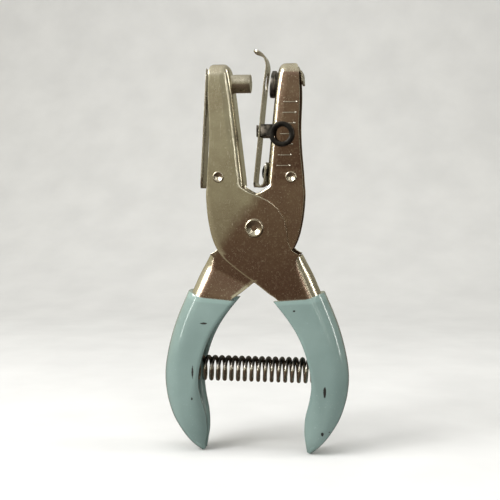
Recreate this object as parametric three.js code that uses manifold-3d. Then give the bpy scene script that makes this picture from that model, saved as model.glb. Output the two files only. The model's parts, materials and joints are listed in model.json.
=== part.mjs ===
// Hand-held single hole punch: two folded sheet levers crossing at a rivet, a round punch pin that
// enters a die bushing through a stripper strip, a sliding paper gauge, a return coil spring between
// the handles, and dipped grips. Millimetres, +Z up, +X right, the front faces -Y.
// Outlines are drawn from the pivot centre; the whole tool then stands on its handle tips.
import * as THREE from 'three';
import { mergeVertices } from 'three/addons/utils/BufferGeometryUtils.js';
import Module from 'manifold-3d';

const wasm = await Module();
wasm.setup();

// ---- Driving dimensions
const SHEET = 1.1;            // thickness of the lever sheet
const PLAY = 0.3;             // clearance between pieces that meet
const JAW_FOLD = 3.2;         // outer radius of the jaw's fold
const NECK_FOLD = 4.2;        // outer radius of the neck's and handle's fold
const JAW_HEIGHT = 56.6;      // pivot to the top of the jaws
const HANDLE_DROP = 79.7;     // pivot down to the tips of the grips
const HANDLE_SPREAD = 32.6;   // pivot out to the widest point of a grip
const COAT = 1.0;             // thickness of the dipped grip coat
const LIP = 0.4;              // how far the coat rolls over the open edge of the sheet

const RIVET_R = 2.2;          // pivot rivet shank
const RIVET_HEAD_R = 3.3;
const RIVET_HEAD = 0.9;       // height of a pivot rivet head
const SPACER_WALL = 1.1;
const JAW_RIVET_R = 1.2;
const JAW_RIVET_HEAD_R = 1.95;
const JAW_RIVET_HEAD = 0.6;
const JAW_RIVET_AT = [-12.5, 17.6];   // from the pivot, on the lever whose handle is on +X

const PIN_R = 3.175;          // punch pin for a quarter-inch hole
const PIN_SHANK_R = 2.2;
const PIN_FROM_TOP = 6.7;     // pin axis below the jaw top
const PIN_CLEARANCE = 0.3;    // radial, pin to die bore
const REST_GAP = 4.9;         // pin tip to stripper when the jaws are open

const THROAT = 3.7;           // free width between stripper and die jaw
const STRIP = 0.7;            // stripper and backing leaf thickness
const STRIP_HALF = 4.7;       // half width of the stripper
const LEAF_HALF = 4.3;        // half width of the backing leaf and tab
const DIE_STAND = 2.1;        // die collar height over the jaw
const DIE_WALL = 0.6;
const DIE_RIM = 0.6;          // how far the die collar overhangs its shank
const DIE_DROP = 0.5;         // die centre below the pin axis, where the pin's arc meets it

const SPRING_DROP = 50.2;     // pivot down to the return spring's axis
const SPRING_R = 4.6;         // outer radius of the coil
const WIRE = 1.3;
const COIL_PITCH = 2.42;
const SPRING_SIDE = 0.5;      // room beside the coil in a handle's channel
const STUD_FLANGE = 0.8;
const STUD_LENGTH = 3.0;

const GAUGE_RING_R = 4.3;
const GAUGE_RING_HOLE_R = 2.6;
const GAUGE_PLATE = 1.0;
const GAUGE_BLOCK = 4.1;      // height of the paper stop
const GAUGE_HEIGHT = 33.4;    // pivot up to the middle of the paper stop
const GAUGE_RING_DROP = 1.3;  // ring centre below the middle of the paper stop
const GAUGE_RING_OUT = 3.8;   // ring centre outside the die jaw's fold
const GAUGE_HOOK = 0.5;       // flange of the gauge behind the stripper
const GAUGE_PLAY = 0.4;       // gauge to stripper and jaw
const LEAF_SPLAY = 1.65;      // how far the leaf's free end stands off the lever

// Half thickness over the punch lever, and over both jaws and handles: a channel round the coil.
const LEVER_HALF = SPRING_R + SPRING_SIDE + SHEET;
const NEST_HALF = LEVER_HALF - SHEET - PLAY;   // half thickness of the die lever where it nests
const PIN_HEIGHT = JAW_HEIGHT - PIN_FROM_TOP;
const FIT = COAT + PLAY;                       // grip surface to sheet surface
const GRIP_HALF = LEVER_HALF + FIT;
const GRIP_FOLD = NECK_FOLD + FIT;

// ---- Materials
const NICKEL = 0xb5ad98;
const finish = (color, roughness, metalness) =>
  new THREE.MeshStandardMaterial({ color, roughness, metalness });

// ---- Jaw and handle outlines
const JAW_ROOT = 14.3;        // height at which a jaw's fold begins
const JAW_DRAWN = 56.6;
const jawZ = (z) => JAW_ROOT + (z - JAW_ROOT) * (JAW_HEIGHT - JAW_ROOT) / (JAW_DRAWN - JAW_ROOT);

// Sideways lean of each jaw's folded face per unit height.
const PUNCH_LEAN = 0.122;
const DIE_LEAN = 0.100;
const DIE_ANGLE = Math.atan(DIE_LEAN);
const FACE_AT_ROOT = 3.75;
const punchFace = (z) => FACE_AT_ROOT + (z - JAW_ROOT) * PUNCH_LEAN;
const dieFace = (z) => FACE_AT_ROOT + (z - JAW_ROOT) * DIE_LEAN;
const JOGGLE_TOP = 42;        // height at which the nested jaw has its full thickness again
const smoothStep = (t) => t * t * (3 - 2 * t);
const jawHalf = (z, nestHalf) => nestHalf + (LEVER_HALF - nestHalf)
  * smoothStep(Math.min(1, Math.max(0, (z - JAW_ROOT) / (JOGGLE_TOP - JAW_ROOT))));

// Open edge x and z, fold x and z, then half thickness, for a lever whose handle is on +X.
const CAP_STATIONS = [
  [-13.6, JAW_DRAWN, -10.6, JAW_DRAWN, LEVER_HALF - 1.8, 1.6],
  [-15.4, 55.6, -9.3, 55.6, LEVER_HALF - 0.5, 2.0],
  [-16.0, 54.0, -8.6, 54.0, LEVER_HALF, JAW_FOLD],
];
const OPEN_EDGE = [[-16.0, 54], [-16.1, 45], [-15.6, 35], [-15.8, 27], [-16.4, 18], [-16.6, JAW_ROOT]];

// Jaw rows at their real height, moved sideways with the face that they belong to.
function jawRows(rows, nestHalf, face) {
  return rows.map(([openX, drawnZ, foldX, , half, fold]) => {
    const z = jawZ(drawnZ);
    const shift = punchFace(drawnZ) - face(z);
    return [openX + shift, z, foldX + shift, z, half ?? jawHalf(z, nestHalf), fold ?? JAW_FOLD];
  });
}

// Distance of a jaw's open edge from the pivot's middle line at height z.
function openEdge(z, face) {
  const rows = jawRows(OPEN_EDGE.map(([x, at]) => [x, at, 0]), LEVER_HALF, face);
  const i = Math.max(0, rows.findIndex((row) => row[1] <= z) - 1);
  const t = (z - rows[i][1]) / (rows[i + 1][1] - rows[i][1]);
  return -(rows[i][0] + t * (rows[i + 1][0] - rows[i][0]));
}

const NECK_END = 22.6;        // depth at which the grips start
const HANDLE_DRAWN = 79.7;
const SPREAD_DRAWN = 32.6;
const dropZ = (v) => -(NECK_END + (v - NECK_END) * (HANDLE_DROP - NECK_END) / (HANDLE_DRAWN - NECK_END));
const spreadX = (u, v) => {
  const share = Math.min(1, Math.max(0, (v - NECK_END) / 20));
  return u * (1 + share * (HANDLE_SPREAD / SPREAD_DRAWN - 1));
};

// Grip outline: inner edge u and depth v, outer face u and v, half thickness lost, lip.
const GRIP_STATIONS = [
  [7.0, 25.2, 24.0, NECK_END, 0, 0],
  [11.2, 30.4, 27.4, 30.2, 0, 0],
  [14.8, 35.8, 29.5, 36.0, 0, 0],
  [17.5, 41.6, 31.2, 42.2, 0, 0],
  [19.5, 48.4, 32.4, 48.8, 0, 0],
  [20.5, 54.4, SPREAD_DRAWN, 54.4, 0, 0],
  [20.9, 60.0, 31.8, 60.2, 0.1, 1.2],
  [20.6, 66.4, 29.7, 66.6, 0.5, 2.3],
  [19.8, 72.0, 26.4, 72.2, 1.4, 2.0],
  [18.9, 76.2, 22.9, 76.6, 3.1, 0.8],
  [18.2, 79.2, 19.5, HANDLE_DRAWN, 5.7, 0],
];

// ---- Solids
function signedVolume(points, faces) {
  let total = 0;
  for (const [a, b, c] of faces) {
    total += points[a].dot(new THREE.Vector3().crossVectors(points[b], points[c])) / 6;
  }
  return total;
}

function solidFrom(points, faces) {
  const turned = signedVolume(points, faces) < 0;
  const ordered = turned ? faces.map(([a, b, c]) => [a, c, b]) : faces;
  return new wasm.Manifold(new wasm.Mesh({
    numProp: 3,
    vertProperties: new Float32Array(points.flatMap((p) => [p.x, p.y, p.z])),
    triVerts: new Uint32Array(ordered.flat()),
  }));
}

function solidOf(geometry) {
  const bare = geometry.clone();
  bare.deleteAttribute('normal');
  bare.deleteAttribute('uv');
  const merged = mergeVertices(bare, 1e-4);
  const position = merged.getAttribute('position');
  const points = [];
  for (let i = 0; i < position.count; i++) {
    points.push(new THREE.Vector3().fromBufferAttribute(position, i));
  }
  const faces = [];
  for (let i = 0; i < merged.index.count; i += 3) {
    faces.push([merged.index.getX(i), merged.index.getX(i + 1), merged.index.getX(i + 2)]);
  }
  return solidFrom(points, faces);
}

function geometryOf(solid) {
  const mesh = solid.getMesh();
  const geometry = new THREE.BufferGeometry();
  const count = mesh.vertProperties.length / mesh.numProp;
  const xyz = new Float32Array(count * 3);
  for (let i = 0; i < count; i++) {
    xyz.set(mesh.vertProperties.subarray(i * mesh.numProp, i * mesh.numProp + 3), i * 3);
  }
  geometry.setAttribute('position', new THREE.BufferAttribute(xyz, 3));
  geometry.setIndex(new THREE.BufferAttribute(Uint32Array.from(mesh.triVerts), 1));
  geometry.computeVertexNormals();
  return geometry;
}

// A skin of rings of equal length, closed at both ends by pairing each ring's first half
// with its second half.
function loft(rings) {
  const n = rings[0].length;
  const faces = [];
  for (let r = 0; r + 1 < rings.length; r++) {
    for (let i = 0; i < n; i++) {
      const j = (i + 1) % n;
      const [a, b] = [r * n + i, r * n + j];
      faces.push([a, b, a + n], [b, b + n, a + n]);
    }
  }
  for (const [start, flip] of [[0, true], [(rings.length - 1) * n, false]]) {
    for (let i = 0; i + 1 < n / 2; i++) {
      const [a, b, c, d] = [i, i + 1, n - 2 - i, n - 1 - i].map((k) => k + start);
      const pair = b === c ? [[a, b, d]] : [[a, b, c], [a, c, d]];
      faces.push(...(flip ? pair.map(([p, q, s]) => [p, s, q]) : pair));
    }
  }
  return solidFrom(rings.flat(), faces);
}

// ---- Channel sections
const ARC_STEPS = 3;

function foldedHalf(width, half, fold) {
  const arc = [];
  for (let i = 0; i <= ARC_STEPS; i++) {
    const turn = (i / ARC_STEPS) * Math.PI / 2;
    arc.push([width - fold + fold * Math.sin(turn), -half + fold - fold * Math.cos(turn)]);
  }
  return arc;
}

const mirrorHalf = (half) => [...half, ...half.map(([a, y]) => [a, -y]).reverse()];

// Sheet channel: outer face front to back, then the inner face back again.
function sheetSection(width, half, fold) {
  const outer = mirrorHalf([[0, -half], ...foldedHalf(width, half, fold)]);
  const inner = mirrorHalf([[0, -half + SHEET],
    ...foldedHalf(width - SHEET, half - SHEET, Math.max(fold - SHEET, 0.4))]);
  return [...outer, ...inner.reverse()];
}

function lipPoints(lip, half) {
  const depth = 0.5 + lip;
  return [[-lip, -half + depth], [-0.7 * lip, -half + 0.35 * depth], [0, -half]];
}

function coatSection(width, half, fold, lip) {
  const depth = 0.5 + lip;
  const outer = mirrorHalf([...lipPoints(lip, half), ...foldedHalf(width, half, fold)]);
  const innerLip = [
    [COAT - lip, -half + Math.max(depth, 1.15 * COAT)],
    [COAT - 0.7 * lip, -half + Math.max(0.35 * depth + 0.5 * COAT, 1.08 * COAT)],
    [0.9 * COAT, -half + COAT],
  ];
  const inner = mirrorHalf([...innerLip,
    ...foldedHalf(width - COAT, half - COAT, Math.max(fold - COAT, 0.3))]);
  return [...outer, ...inner.reverse()];
}

// Solid grip tip: the outer face only.
const tipSection = (width, half, fold, lip) =>
  mirrorHalf([...lipPoints(lip, half), ...foldedHalf(width, half, fold)]);

function placeSection(section, [openX, openZ, foldX, foldZ], side) {
  const along = new THREE.Vector2(foldX - openX, foldZ - openZ).normalize();
  return section.map(([a, y]) =>
    new THREE.Vector3(side * (openX + along.x * a), y, openZ + along.y * a));
}

const stationWidth = ([openX, openZ, foldX, foldZ]) => Math.hypot(foldX - openX, foldZ - openZ);

function insetStation(station, inset) {
  const [openX, openZ, foldX, foldZ] = station;
  const width = stationWidth(station);
  const [dx, dz] = [(foldX - openX) / width * inset, (foldZ - openZ) / width * inset];
  return [openX + dx, openZ + dz, foldX - dx, foldZ - dz];
}

function catmullRom(rows, steps) {
  const out = [];
  for (let i = 0; i + 1 < rows.length; i++) {
    const [p, q, r, s] = [i - 1, i, i + 1, i + 2].map((k) =>
      rows[Math.min(Math.max(k, 0), rows.length - 1)]);
    for (let k = 0; k < steps; k++) {
      const t = k / steps;
      out.push(q.map((_, c) => q[c] + 0.5 * t * (r[c] - p[c]
        + t * (2 * p[c] - 5 * q[c] + 4 * r[c] - s[c] + t * (3 * (q[c] - r[c]) + s[c] - p[c])))));
    }
  }
  out.push(rows[rows.length - 1]);
  return out;
}

const gripRows = catmullRom(GRIP_STATIONS.map(([iu, iv, ou, ov, lost, lip]) => [
  spreadX(iu, iv), dropZ(iv), spreadX(ou, ov), dropZ(ov), lost, Math.max(lip, LIP)]), 2);
const rowHalf = (row) => GRIP_HALF - row[4];
const rowFold = (row) => Math.min(GRIP_FOLD, rowHalf(row) * 0.85, stationWidth(row) * 0.55);

// Outer face of a grip at a given depth, by its rows.
function gripOuter(drop) {
  for (let i = 0; i + 1 < gripRows.length; i++) {
    const [a, b] = [gripRows[i], gripRows[i + 1]];
    if (b[3] <= -drop && a[3] >= -drop) {
      return a[2] + (b[2] - a[2]) * (-drop - a[3]) / (b[3] - a[3]);
    }
  }
  return HANDLE_SPREAD;
}

// ---- Levers
const S_CURVE = [
  [12.6, -8.6], [11.6, -4.4], [11.2, -0.4], [10.3, 2.9], [8.5, 6.1], [6.3, 8.3], [3.4, 10.1],
  [0.5, 11.6], [-3.4, 13.8],
];
const OUTER_CURVE = [
  [-16.6, 15.6], [-16.8, 10.4], [-16.0, 2.5], [-14.8, -2.9], [-13.0, -7.2], [-10.6, -10.5],
  [-7.4, -13.3], [-4.5, -15.5], [-0.3, -18.5],
];
const CROTCH = [-0.3, -18.5];
const NECK_START = [...CROTCH, 16.0, -9.3];

function crossingPlate(side, half) {
  const spline = (rows) => new THREE.SplineCurve(rows.map(([x, z]) => new THREE.Vector2(side * x, z)));
  const outline = [
    ...spline(OUTER_CURVE).getPoints(20),
    new THREE.Vector2(side * 1.0, -19.5),
    new THREE.Vector2(side * 12.4, -12.6),
    ...spline(S_CURVE).getPoints(22),
    new THREE.Vector2(side * -5.4, JAW_ROOT + 1.2),
  ];
  const sheet = new THREE.ExtrudeGeometry(new THREE.Shape(outline), { depth: SHEET, bevelEnabled: false });
  sheet.rotateX(Math.PI / 2);
  const front = sheet.clone().translate(0, -half + SHEET, 0);
  const back = sheet.clone().translate(0, half, 0);
  return solidOf(front).add(solidOf(back));
}

function cylinderY(radius, length, x, z, segments = 24) {
  return solidOf(new THREE.CylinderGeometry(radius, radius, length, segments).translate(x, 0, z));
}

function lever(side, nestHalf, face) {
  const sides = OPEN_EDGE.slice(1).map(([x, z]) => [x, z, -punchFace(z)]);
  const jaw = jawRows([...CAP_STATIONS, ...sides], nestHalf, face).map((row) =>
    placeSection(sheetSection(stationWidth(row), row[4], row[5]), row, side));
  const cap = jawRows(CAP_STATIONS.slice(0, 2), nestHalf, face).map((row) =>
    placeSection(mirrorHalf([[0, -row[4]], ...foldedHalf(stationWidth(row), row[4], row[5])]), row, side));
  const halfStep = (LEVER_HALF - nestHalf) / 2;
  const neck = [
    [...NECK_START, nestHalf, NECK_FOLD * 0.8],
    [2.2, -20.4, 17.9, -12.5, nestHalf, NECK_FOLD],
    [5.0, -22.6, 20.1, -16.6, nestHalf + halfStep, NECK_FOLD],
  ];
  const handle = gripRows.filter((row) => row[4] < 1.3).map((row) =>
    [...insetStation(row, FIT), rowHalf(row) - FIT, Math.max(rowFold(row) - FIT, 1.4)]);
  const shank = [...neck, ...handle].map((row) =>
    placeSection(sheetSection(stationWidth(row), row[4], row[5]), row, side));
  return loft(jaw)
    .add(loft(cap))
    .add(crossingPlate(side, nestHalf))
    .add(loft(shank))
    .subtract(cylinderY(RIVET_R + PLAY, 4 * LEVER_HALF, 0, 0))
    .subtract(cylinderY(JAW_RIVET_R + PLAY, 4 * LEVER_HALF, side * JAW_RIVET_AT[0], JAW_RIVET_AT[1], 12));
}

// ---- Turned pieces, drawn as radius and height, then laid along X or Y
const turned = (profile, segments = 24) =>
  new THREE.LatheGeometry(profile.map(([r, h]) => new THREE.Vector2(r, h)), segments);
const alongX = (geometry) => geometry.rotateZ(-Math.PI / 2);

// Rivet through two faces at +-reach, with a cupped front end.
function rivetGeometry(shank, head, headHeight, reach, cup, cupDepth) {
  const seat = reach + PLAY;
  const top = seat + headHeight;
  return turned([
    [0, -top + cupDepth], [cup * 0.55, -top + cupDepth * 0.75], [cup, -top + 0.1], [cup + 0.15, -top],
    [head * 0.86, -top + 0.05], [head, -seat - headHeight * 0.35], [head * 0.97, -seat],
    [shank, -seat], [shank, seat], [head * 0.97, seat], [head, seat + headHeight * 0.4],
    [head * 0.8, top], [0, top],
  ]);
}

const tool = new THREE.Group();
tool.position.z = HANDLE_DROP;

function piece(name, geometry, material) {
  const mesh = new THREE.Mesh(geometry, material);
  mesh.name = name;
  tool.add(mesh);
  return mesh;
}

const nickel = () => finish(NICKEL, 0.32, 1);

// ---- Punch side
const punchPinHole = solidOf(alongX(
  new THREE.CylinderGeometry(PIN_SHANK_R + PLAY, PIN_SHANK_R + PLAY, 8, 24))
  .translate(-punchFace(PIN_HEIGHT), 0, PIN_HEIGHT));
piece('punch_lever', geometryOf(lever(1, LEVER_HALF, punchFace).subtract(punchPinHole)), nickel());

const stripX = dieFace(PIN_HEIGHT) - THROAT - STRIP / 2;
const pinTip = stripX - STRIP / 2 - REST_GAP;
const pinShoulder = -punchFace(PIN_HEIGHT - PIN_R) + PLAY;
const pinHeadSeat = -punchFace(PIN_HEIGHT + PIN_R) - SHEET - PLAY;
piece('punch_pin', alongX(turned([
  [0, pinHeadSeat - 1.0], [PIN_SHANK_R + 0.5, pinHeadSeat - 1.0], [PIN_SHANK_R + 0.9, pinHeadSeat - 0.6],
  [PIN_SHANK_R + 0.9, pinHeadSeat], [PIN_SHANK_R, pinHeadSeat], [PIN_SHANK_R, pinShoulder],
  [PIN_R, pinShoulder], [PIN_R, pinTip - 0.15], [PIN_R - 0.15, pinTip], [0, pinTip],
], 32)), finish(0xb9b6ad, 0.22, 1)).position.z = PIN_HEIGHT;

// A strip of constant thickness that follows a curve in the XZ plane.
function stripSolid(points, thickness, halfWidth, samples) {
  const curve = new THREE.SplineCurve(points.map(([x, z]) => new THREE.Vector2(x, z)));
  const rings = [];
  for (let i = 0; i <= samples; i++) {
    const at = curve.getPointAt(i / samples);
    const along = curve.getTangentAt(i / samples);
    const [dx, dz] = [along.y * thickness / 2, -along.x * thickness / 2];
    rings.push([[-1, -1], [1, -1], [1, 1], [-1, 1]].map(([face, end]) =>
      new THREE.Vector3(at.x + face * dx, end * halfWidth, at.y + face * dz)));
  }
  return loft(rings);
}

// Backing leaf: enters the open side under the cap, bends down and stands a little proud.
const leafTop = JAW_HEIGHT - 3.0;
const leafBend = leafTop - 1.2;
const leafTail = JAW_ROOT - 0.6;
const leafOut = PLAY + STRIP / 2 + 0.2;
// The bend that starts a leaf, on the side of a jaw given by its face.
function leafStart(side, face) {
  const x = openEdge(leafBend, face) + leafOut;
  return [[x - 3.5, leafTop], [x - 1.5, leafTop], [x - 0.25, leafTop - 0.3], [x, leafBend]]
    .map(([px, z]) => [side * px, z]);
}
const tailX = -openEdge(leafTail, punchFace) - leafOut - LEAF_SPLAY;
const leafHead = leafStart(-1, punchFace);
const leafRun = [0.25, 0.5, 0.75, 1].map((t) => [
  leafHead[3][0] + t * (tailX - leafHead[3][0]), leafBend + t * (leafTail - leafBend)]);
piece('backing_leaf', geometryOf(stripSolid([...leafHead, ...leafRun], STRIP, LEAF_HALF, 26)), nickel());
const tabHead = leafStart(1, dieFace);
piece('backing_tab', geometryOf(stripSolid([
  ...tabHead, [tabHead[3][0] + 0.2, leafTop - 4.4],
], STRIP, LEAF_HALF, 12)), nickel());

// ---- Die side
// Moves a geometry drawn along +X from the die jaw's face at height z to its place.
const onFace = (geometry, z) => geometry.rotateY(DIE_ANGLE).translate(dieFace(z), 0, z);

const dieBore = PIN_R + PIN_CLEARANCE;
const dieShank = dieBore + DIE_WALL;
const dieHoleCutter = solidOf(onFace(alongX(
  new THREE.CylinderGeometry(dieShank + PLAY, dieShank + PLAY, 3 * SHEET, 32)), PIN_HEIGHT - DIE_DROP));
const STRIPPER_RIVET_R = 1.4;
const STRIPPER_RIVET_AT = JAW_ROOT + 5;
const STRIPPER_LEG = 8.4;     // height of the stripper's riveted leg over the jaw's root
const stripperHole = () => solidOf(onFace(alongX(
  new THREE.CylinderGeometry(STRIPPER_RIVET_R + PLAY, STRIPPER_RIVET_R + PLAY, 6 * SHEET, 16)
), STRIPPER_RIVET_AT));
piece('die_lever', geometryOf(
  lever(-1, NEST_HALF, dieFace).subtract(dieHoleCutter).subtract(stripperHole())), nickel());

piece('die_bushing', onFace(alongX(turned([
  [dieBore, -DIE_STAND], [dieShank + DIE_RIM - 0.5, -DIE_STAND], [dieShank + DIE_RIM, -DIE_STAND + 0.5],
  [dieShank + DIE_RIM, -PLAY], [dieShank, -PLAY], [dieShank, SHEET + 1.4], [dieBore, SHEET + 1.4],
  [dieBore, -DIE_STAND],
], 36)), PIN_HEIGHT - DIE_DROP), finish(0x8f8b80, 0.3, 1));

// Stripper: a leg riveted to the face, a return bend, a run along the throat and a curled lead-in.
const legX = -PLAY - STRIP / 2;
const runX = -THROAT - STRIP / 2;
const bendR = (legX - runX) / 2;
const bendZ = JAW_ROOT + 1.7;
const fromFace = (d, z) => [dieFace(z) + d, z];
const bendPoints = [30, 60, 90, 120, 150].map((deg) => {
  const turn = deg * Math.PI / 180;
  return fromFace((legX + runX) / 2 + bendR * Math.cos(turn), bendZ - bendR * Math.sin(turn));
});
const stripperHoleCutter = solidOf(alongX(
  new THREE.CylinderGeometry(PIN_R + 0.4, PIN_R + 0.4, 4, 28)).translate(stripX, 0, PIN_HEIGHT));
const legHole = solidOf(alongX(
  new THREE.CylinderGeometry(STRIPPER_RIVET_R + PLAY, STRIPPER_RIVET_R + PLAY, 2.4, 16))
  .rotateY(DIE_ANGLE).translate(dieFace(STRIPPER_RIVET_AT) + legX, 0, STRIPPER_RIVET_AT));
piece('stripper', geometryOf(stripSolid([
  fromFace(legX, JAW_ROOT + STRIPPER_LEG), fromFace(legX, STRIPPER_RIVET_AT), fromFace(legX, bendZ),
  ...bendPoints,
  ...[0, 0.3, 0.6, 0.85, 1].map((t) => fromFace(runX, bendZ + t * (PIN_HEIGHT - bendZ))),
  [stripX + 0.5, PIN_HEIGHT + 3.4], [stripX + 0.7, PIN_HEIGHT + 6.0], [stripX - 0.1, PIN_HEIGHT + 8.6],
  [stripX - 1.8, PIN_HEIGHT + 10.2], [stripX - 3.9, PIN_HEIGHT + 10.9],
], STRIP, STRIP_HALF, 72).subtract(stripperHoleCutter).subtract(legHole)), finish(0xa9a392, 0.28, 1));

const rivetSeat = 2 * PLAY + STRIP;
const STRIPPER_HEAD_R = 2.9;
piece('stripper_rivet', onFace(alongX(turned([
  [0, -rivetSeat - 1.2], [STRIPPER_HEAD_R * 0.5, -rivetSeat - 1.05],
  [STRIPPER_HEAD_R * 0.85, -rivetSeat - 0.6], [STRIPPER_HEAD_R, -rivetSeat],
  [STRIPPER_RIVET_R, -rivetSeat], [STRIPPER_RIVET_R, SHEET + PLAY],
  [STRIPPER_HEAD_R * 0.8, SHEET + PLAY], [STRIPPER_HEAD_R * 0.7, SHEET + PLAY + 0.8],
  [0, SHEET + PLAY + 0.8],
])), STRIPPER_RIVET_AT), nickel());

// ---- Paper gauge: a ring over the jaw's front, an arm, and a stop that crosses the throat
function box(x0, x1, y0, y1, z0, z1) {
  return solidOf(new THREE.BoxGeometry(x1 - x0, y1 - y0, z1 - z0)
    .translate((x0 + x1) / 2, (y0 + y1) / 2, (z0 + z1) / 2));
}
const gaugeFace = dieFace(GAUGE_HEIGHT);
const gaugeFront = -LEVER_HALF - PLAY;
const ringX = gaugeFace + GAUGE_RING_OUT;
const stopLeft = gaugeFace - THROAT + GAUGE_PLAY;
const stopRight = gaugeFace - GAUGE_PLAY;
const stopLow = GAUGE_HEIGHT - GAUGE_BLOCK / 2;
const stopHigh = GAUGE_HEIGHT + GAUGE_BLOCK / 2;
const hookRight = gaugeFace - THROAT - STRIP - GAUGE_PLAY;
const hookLeft = hookRight - GAUGE_HOOK;
const hookBack = STRIP_HALF + 2 * GAUGE_PLATE;
const armRight = ringX - GAUGE_RING_HOLE_R - 0.6;
const ringDisc = solidOf(new THREE.CylinderGeometry(GAUGE_RING_R, GAUGE_RING_R, GAUGE_PLATE, 36)
  .translate(ringX, gaugeFront - GAUGE_PLATE / 2, GAUGE_HEIGHT - GAUGE_RING_DROP));
const ringHole = solidOf(new THREE.CylinderGeometry(GAUGE_RING_HOLE_R, GAUGE_RING_HOLE_R, 4, 32)
  .translate(ringX, gaugeFront, GAUGE_HEIGHT - GAUGE_RING_DROP));
piece('paper_gauge', geometryOf(ringDisc
  .add(box(stopLeft, armRight, gaugeFront - GAUGE_PLATE, gaugeFront, stopLow, stopHigh))
  .add(box(stopLeft, stopRight, gaugeFront - GAUGE_PLATE / 2, hookBack, stopLow, stopHigh))
  .add(box(hookLeft, stopRight, STRIP_HALF + GAUGE_PLATE, hookBack, stopLow, stopHigh))
  .add(box(hookLeft, hookRight, 1 - STRIP_HALF, hookBack, stopLow, stopHigh))
  .subtract(ringHole)), finish(0x1b1a18, 0.42, 0.6));

// ---- Pivot
piece('pivot_rivet', rivetGeometry(RIVET_R, RIVET_HEAD_R, RIVET_HEAD, LEVER_HALF, 2.3, 1.5),
  finish(0xc4beac, 0.28, 1));
const spacerHalf = NEST_HALF - SHEET - PLAY;
const spacerR = RIVET_R + PLAY + SPACER_WALL;
piece('pivot_spacer', turned([
  [RIVET_R + PLAY, -spacerHalf], [spacerR, -spacerHalf], [spacerR, spacerHalf],
  [RIVET_R + PLAY, spacerHalf], [RIVET_R + PLAY, -spacerHalf],
]), finish(0x8d8a82, 0.45, 1));
const jawRivets = [['punch_jaw_rivet', 1, LEVER_HALF], ['die_jaw_rivet', -1, NEST_HALF]];
for (const [name, side, nestHalf] of jawRivets) {
  const reach = jawHalf(JAW_RIVET_AT[1] + JAW_RIVET_HEAD_R, nestHalf);
  const rivet = piece(name, rivetGeometry(JAW_RIVET_R, JAW_RIVET_HEAD_R, JAW_RIVET_HEAD, reach, 1.2, 0.6),
    nickel());
  rivet.position.set(side * JAW_RIVET_AT[0], 0, JAW_RIVET_AT[1]);
}

// ---- Grips
const shellRows = gripRows.filter((row) => row[4] < 2.3);
const tipRows = gripRows.filter((row) => row[4] > 1.3);
for (const [name, side] of [['right_grip', 1], ['left_grip', -1]]) {
  const shell = shellRows.map((row) =>
    placeSection(coatSection(stationWidth(row), rowHalf(row), rowFold(row), row[5]), row, side));
  const tip = tipRows.map((row) =>
    placeSection(tipSection(stationWidth(row), rowHalf(row), rowFold(row), row[5]), row, side));
  piece(name, geometryOf(loft(shell).add(loft(tip))), finish(0x788f8c, 0.25, 0));
}

// ---- Return spring and the studs that hold its ends
const studBase = gripOuter(SPRING_DROP) - FIT - SHEET - PLAY;
// The flange stands off far enough for the coil's edge to clear the fold's inner round.
const innerFold = NECK_FOLD - SHEET;
const coilPastFold = SPRING_R - (LEVER_HALF - NECK_FOLD);
const studFoot = innerFold - Math.sqrt(innerFold ** 2 - coilPastFold ** 2) + 0.1;
const studSeat = studBase - studFoot;
const springHalf = studSeat - STUD_FLANGE - PLAY;
const studR = SPRING_R - WIRE - 0.4;
class Coil extends THREE.Curve {
  getPoint(t, target = new THREE.Vector3()) {
    const turn = t * 2 * Math.PI * Math.round(2 * springHalf / COIL_PITCH);
    const radius = SPRING_R - WIRE / 2;
    const reach = springHalf - WIRE / 2;
    return target.set(-reach + 2 * reach * t, radius * Math.sin(turn), radius * Math.cos(turn));
  }
}
const wireSection = new THREE.Shape(Array.from({ length: 6 }, (_, i) =>
  new THREE.Vector2(WIRE / 2 * Math.cos(i * Math.PI / 3), WIRE / 2 * Math.sin(i * Math.PI / 3))));
piece('handle_spring', new THREE.ExtrudeGeometry(wireSection, {
  steps: 12 * Math.round(2 * springHalf / COIL_PITCH), bevelEnabled: false, extrudePath: new Coil(),
}), finish(0xa8a59c, 0.3, 1)).position.z = -SPRING_DROP;
for (const [name, side] of [['right_spring_stud', 1], ['left_spring_stud', -1]]) {
  const stud = piece(name, alongX(turned([
    [0, springHalf - STUD_LENGTH], [studR - 0.5, springHalf - STUD_LENGTH],
    [studR, springHalf - STUD_LENGTH + 0.6], [studR, studSeat - STUD_FLANGE],
    [SPRING_R - 0.4, studSeat - STUD_FLANGE], [SPRING_R - 0.4, studSeat], [studR * 0.7, studSeat],
    [studR * 0.7, studBase], [0, studBase],
  ], 20)), finish(0x77736a, 0.5, 1));
  stud.rotation.z = side > 0 ? 0 : Math.PI;
  stud.position.z = -SPRING_DROP;
}

export default tool;
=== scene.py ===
"""Hand-held single hole punch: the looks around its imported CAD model. Metres, +Z up, -Y is the front.

Every sheet piece starts as a flat blank (a grid), is cut while it is flat, and is then folded to its
sections. Turned pieces are profiles that are spun, and the rest are primitives cut and bevelled.
Outlines are in millimetres from the pivot, on a lever whose handle is on the +X side. The die lever is
the same shape with its sides swapped.
"""

import json
import math

import bpy
from mathutils import Matrix, Vector

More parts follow.
